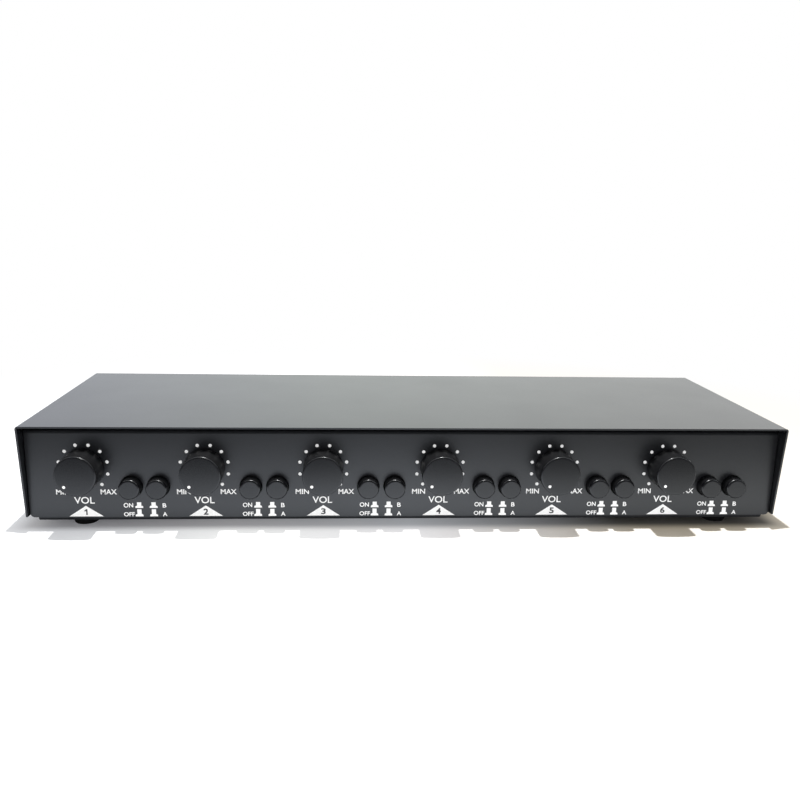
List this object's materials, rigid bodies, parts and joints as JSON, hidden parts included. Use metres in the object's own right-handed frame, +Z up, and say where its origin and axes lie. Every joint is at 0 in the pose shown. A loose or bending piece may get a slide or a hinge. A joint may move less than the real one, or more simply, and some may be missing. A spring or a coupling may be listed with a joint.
{
  "type": "speaker selector switch",
  "caption": "Flat black case that feeds amplifier signals to several speaker zones, each with a volume dial and two push buttons.",
  "frame": {"origin": "on the floor under the feet, below the middle of the overall width and depth", "axes": "+X to the right along the front panel, +Y from the front panel to the rear, +Z up"},
  "size_m": [0.4366, 0.1584, 0.0642],
  "materials": {
    "case_paint": "satin powder coat",
    "knob_plastic": "satin",
    "foot_rubber": "matt",
    "black_screw": "black oxide",
    "bright_screw": "zinc plated",
    "switch_metal": "nickel plated",
    "switch_plastic": "moulded",
    "plunger_plastic": "moulded",
    "spring_steel": "bright",
    "board": "solder mask",
    "pin_metal": "tinned",
    "core_steel": "laminated, varnished",
    "bobbin_plastic": "moulded",
    "winding_tape": "polyester tape over enamelled wire",
    "ribbon_insulation": "extruded",
    "connector_plastic": "moulded",
    "terminal_plastic": "moulded",
    "header_plastic": "moulded"
  },
  "bodies": {
    "chassis": {"top_cover": "case_paint", "chassis_tray": "case_paint", "rubber_feet": "foot_rubber", "foot_screws": "bright_screw", "cover_screws": "black_screw", "rotary_switch_bushings": "switch_metal", "rotary_switch_housings": "switch_plastic", "bushing_nuts": "switch_metal", "bushing_washers": "switch_metal", "push_switch_housings": "switch_plastic", "push_switch_springs": "spring_steel", "switch_board": "board", "switch_pins": "pin_metal", "main_board": "board", "board_standoffs": "pin_metal", "board_screws": "bright_screw", "autoformer_cores": "core_steel", "autoformer_bobbins": "bobbin_plastic", "autoformer_windings": "winding_tape", "zone_ribbons": "ribbon_insulation", "ribbon_connectors": "connector_plastic", "terminal_headers": "header_plastic", "terminal_plugs": "terminal_plastic", "terminal_screws": "bright_screw"},
    "volume_1": {"volume_knob_1": "knob_plastic", "switch_shaft_1": "switch_metal"},
    "volume_2": {"volume_knob_2": "knob_plastic", "switch_shaft_2": "switch_metal"},
    "volume_3": {"volume_knob_3": "knob_plastic", "switch_shaft_3": "switch_metal"},
    "volume_4": {"volume_knob_4": "knob_plastic", "switch_shaft_4": "switch_metal"},
    "volume_5": {"volume_knob_5": "knob_plastic", "switch_shaft_5": "switch_metal"},
    "volume_6": {"volume_knob_6": "knob_plastic", "switch_shaft_6": "switch_metal"},
    "on_off_1": {"on_off_button_1": "knob_plastic", "on_off_plunger_1": "plunger_plastic"},
    "on_off_2": {"on_off_button_2": "knob_plastic", "on_off_plunger_2": "plunger_plastic"},
    "on_off_3": {"on_off_button_3": "knob_plastic", "on_off_plunger_3": "plunger_plastic"},
    "on_off_4": {"on_off_button_4": "knob_plastic", "on_off_plunger_4": "plunger_plastic"},
    "on_off_5": {"on_off_button_5": "knob_plastic", "on_off_plunger_5": "plunger_plastic"},
    "on_off_6": {"on_off_button_6": "knob_plastic", "on_off_plunger_6": "plunger_plastic"},
    "source_1": {"source_button_1": "knob_plastic", "source_plunger_1": "plunger_plastic"},
    "source_2": {"source_button_2": "knob_plastic", "source_plunger_2": "plunger_plastic"},
    "source_3": {"source_button_3": "knob_plastic", "source_plunger_3": "plunger_plastic"},
    "source_4": {"source_button_4": "knob_plastic", "source_plunger_4": "plunger_plastic"},
    "source_5": {"source_button_5": "knob_plastic", "source_plunger_5": "plunger_plastic"},
    "source_6": {"source_button_6": "knob_plastic", "source_plunger_6": "plunger_plastic"}
  },
  "joints": [
    {"name": "volume_turn_1", "type": "hinge", "parent": "chassis", "child": "volume_1", "pos_m": [-0.1842, -0.0638, 0.0384], "axis": [0, 1, 0], "range_deg": [0, 270]},
    {"name": "volume_turn_2", "type": "hinge", "parent": "chassis", "child": "volume_2", "pos_m": [-0.1174, -0.0638, 0.0384], "axis": [0, 1, 0], "range_deg": [0, 270]},
    {"name": "volume_turn_3", "type": "hinge", "parent": "chassis", "child": "volume_3", "pos_m": [-0.0506, -0.0638, 0.0384], "axis": [0, 1, 0], "range_deg": [0, 270]},
    {"name": "volume_turn_4", "type": "hinge", "parent": "chassis", "child": "volume_4", "pos_m": [0.0162, -0.0638, 0.0384], "axis": [0, 1, 0], "range_deg": [0, 270]},
    {"name": "volume_turn_5", "type": "hinge", "parent": "chassis", "child": "volume_5", "pos_m": [0.083, -0.0638, 0.0384], "axis": [0, 1, 0], "range_deg": [0, 270]},
    {"name": "volume_turn_6", "type": "hinge", "parent": "chassis", "child": "volume_6", "pos_m": [0.1498, -0.0638, 0.0384], "axis": [0, 1, 0], "range_deg": [0, 270]},
    {"name": "on_off_press_1", "type": "slide", "parent": "chassis", "child": "on_off_1", "axis": [0, 1, 0], "range_m": [0, 0.003], "stiffness_N_per_m": 300, "springref_m": -0.002, "deforming": ["push_switch_springs"]},
    {"name": "on_off_press_2", "type": "slide", "parent": "chassis", "child": "on_off_2", "axis": [0, 1, 0], "range_m": [0, 0.003], "stiffness_N_per_m": 300, "springref_m": -0.002, "deforming": ["push_switch_springs"]},
    {"name": "on_off_press_3", "type": "slide", "parent": "chassis", "child": "on_off_3", "axis": [0, 1, 0], "range_m": [0, 0.003], "stiffness_N_per_m": 300, "springref_m": -0.002, "deforming": ["push_switch_springs"]},
    {"name": "on_off_press_4", "type": "slide", "parent": "chassis", "child": "on_off_4", "axis": [0, 1, 0], "range_m": [0, 0.003], "stiffness_N_per_m": 300, "springref_m": -0.002, "deforming": ["push_switch_springs"]},
    {"name": "on_off_press_5", "type": "slide", "parent": "chassis", "child": "on_off_5", "axis": [0, 1, 0], "range_m": [0, 0.003], "stiffness_N_per_m": 300, "springref_m": -0.002, "deforming": ["push_switch_springs"]},
    {"name": "on_off_press_6", "type": "slide", "parent": "chassis", "child": "on_off_6", "axis": [0, 1, 0], "range_m": [0, 0.003], "stiffness_N_per_m": 300, "springref_m": -0.002, "deforming": ["push_switch_springs"]},
    {"name": "source_press_1", "type": "slide", "parent": "chassis", "child": "source_1", "axis": [0, 1, 0], "range_m": [0, 0.003], "stiffness_N_per_m": 300, "springref_m": -0.002, "deforming": ["push_switch_springs"]},
    {"name": "source_press_2", "type": "slide", "parent": "chassis", "child": "source_2", "axis": [0, 1, 0], "range_m": [0, 0.003], "stiffness_N_per_m": 300, "springref_m": -0.002, "deforming": ["push_switch_springs"]},
    {"name": "source_press_3", "type": "slide", "parent": "chassis", "child": "source_3", "axis": [0, 1, 0], "range_m": [0, 0.003], "stiffness_N_per_m": 300, "springref_m": -0.002, "deforming": ["push_switch_springs"]},
    {"name": "source_press_4", "type": "slide", "parent": "chassis", "child": "source_4", "axis": [0, 1, 0], "range_m": [0, 0.003], "stiffness_N_per_m": 300, "springref_m": -0.002, "deforming": ["push_switch_springs"]},
    {"name": "source_press_5", "type": "slide", "parent": "chassis", "child": "source_5", "axis": [0, 1, 0], "range_m": [0, 0.003], "stiffness_N_per_m": 300, "springref_m": -0.002, "deforming": ["push_switch_springs"]},
    {"name": "source_press_6", "type": "slide", "parent": "chassis", "child": "source_6", "axis": [0, 1, 0], "range_m": [0, 0.003], "stiffness_N_per_m": 300, "springref_m": -0.002, "deforming": ["push_switch_springs"]}
  ]
}
